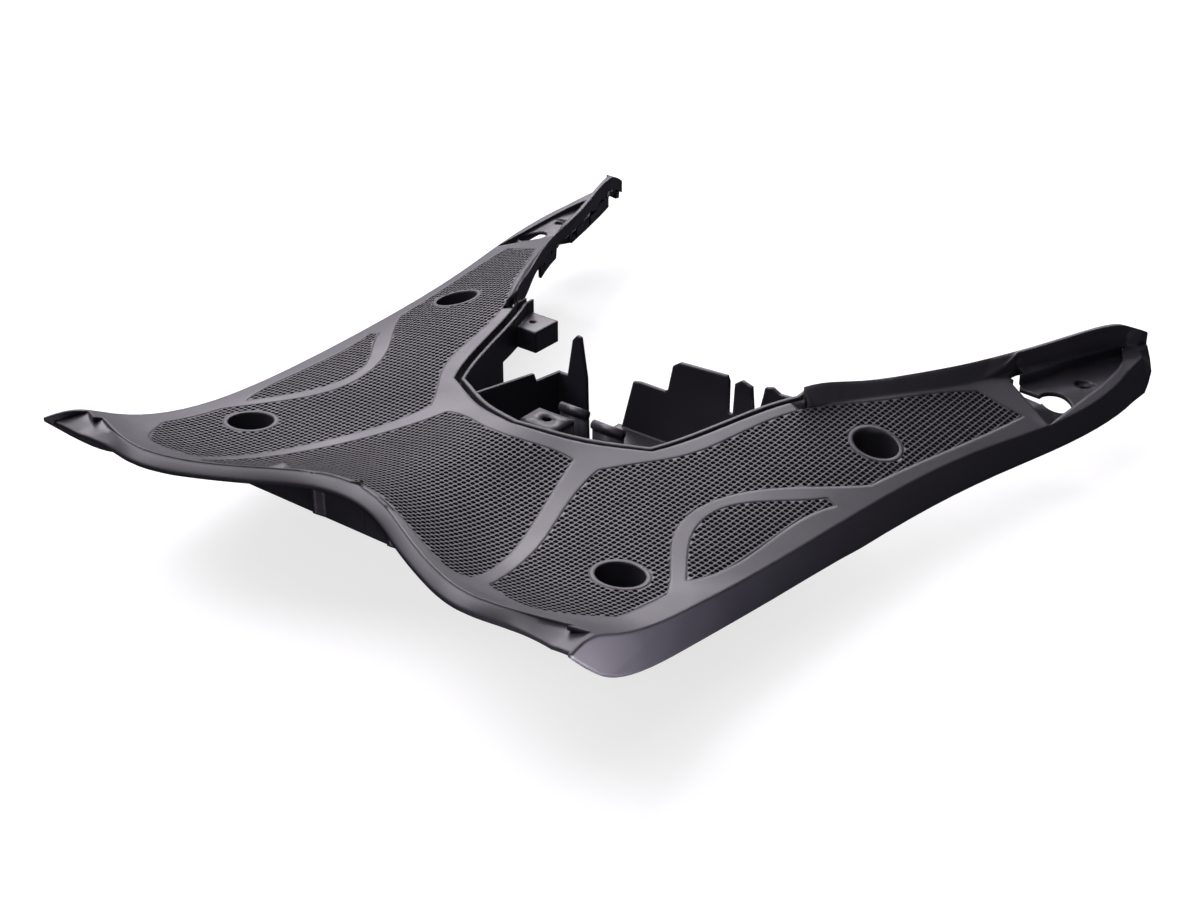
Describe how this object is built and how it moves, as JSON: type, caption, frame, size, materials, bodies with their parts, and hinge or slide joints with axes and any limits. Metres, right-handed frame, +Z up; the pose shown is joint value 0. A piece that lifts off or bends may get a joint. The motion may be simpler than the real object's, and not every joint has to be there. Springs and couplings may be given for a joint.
{
  "type": "scooter floorboard",
  "caption": "Moulded footboard with a crowned treaded deck, side skirts, rear ears, screw wells and an open battery tray.",
  "frame": {"origin": "middle of the board's box, at the level of the tray's underside, on which it rests", "axes": "+X to the side, +Y from the front edge to the rear ears, +Z up"},
  "size_m": [0.436, 0.53, 0.0891],
  "materials": {
    "polypropylene": "satin moulded"
  },
  "bodies": {
    "root": {"floorboard": "polypropylene"}
  },
  "joints": []
}
